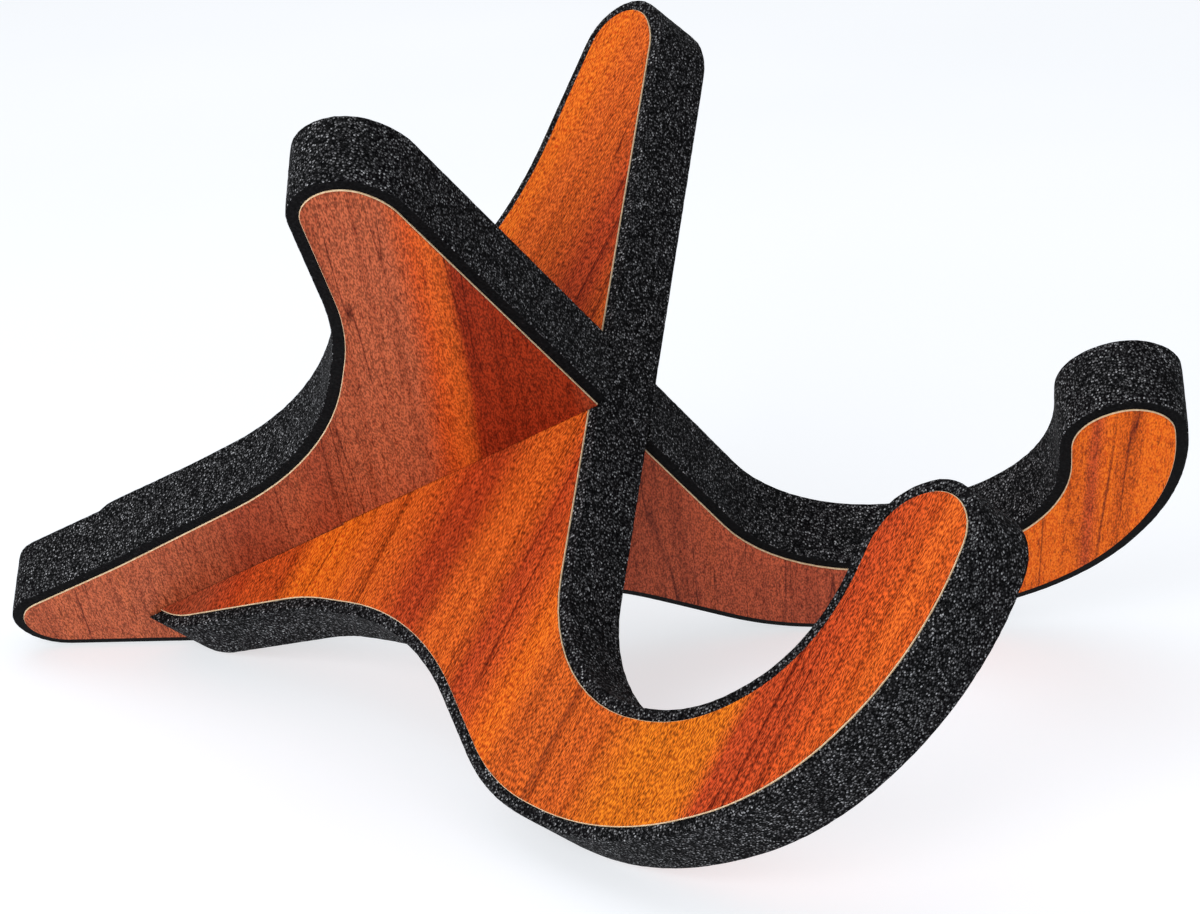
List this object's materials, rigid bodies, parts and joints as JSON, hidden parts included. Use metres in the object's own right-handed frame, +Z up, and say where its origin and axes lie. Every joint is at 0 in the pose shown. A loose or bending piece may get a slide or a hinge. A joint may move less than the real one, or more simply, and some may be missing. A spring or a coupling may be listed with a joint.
{
  "type": "instrument stand",
  "caption": "Take-apart stand for a small guitar or ukulele: slotted foam-cored panels with wood-grain faces cross at right angles and cradle the instrument's edge.",
  "frame": {"origin": "on the floor, under the centre of the stand's bounding box", "axes": "+Z up; -Y is the front, where the cradle hooks point; +X is to the right of a person who stands in front of it and looks along +Y"},
  "size_m": [0.1858, 0.2868, 0.1568],
  "materials": {
    "foam": "closed-cell EVA-type foam, cut edge, matt with fine light specks",
    "backing_board": "thin pale fibre board, raw cut edge",
    "wood_grain_print": "printed orange-brown wood grain, finely embossed, satin"
  },
  "bodies": {
    "right_panel": {"right_foam_core": "foam", "right_lower_board": "backing_board", "right_lower_print": "wood_grain_print", "right_upper_board": "backing_board", "right_upper_print": "wood_grain_print"},
    "left_panel": {"left_foam_core": "foam", "left_lower_board": "backing_board", "left_lower_print": "wood_grain_print", "left_upper_board": "backing_board", "left_upper_print": "wood_grain_print"}
  },
  "joints": [
    {"name": "panel_slide", "type": "slide", "parent": "right_panel", "child": "left_panel", "axis": [0, -0.886, 0.4636], "range_m": [0, 0.175]}
  ]
}
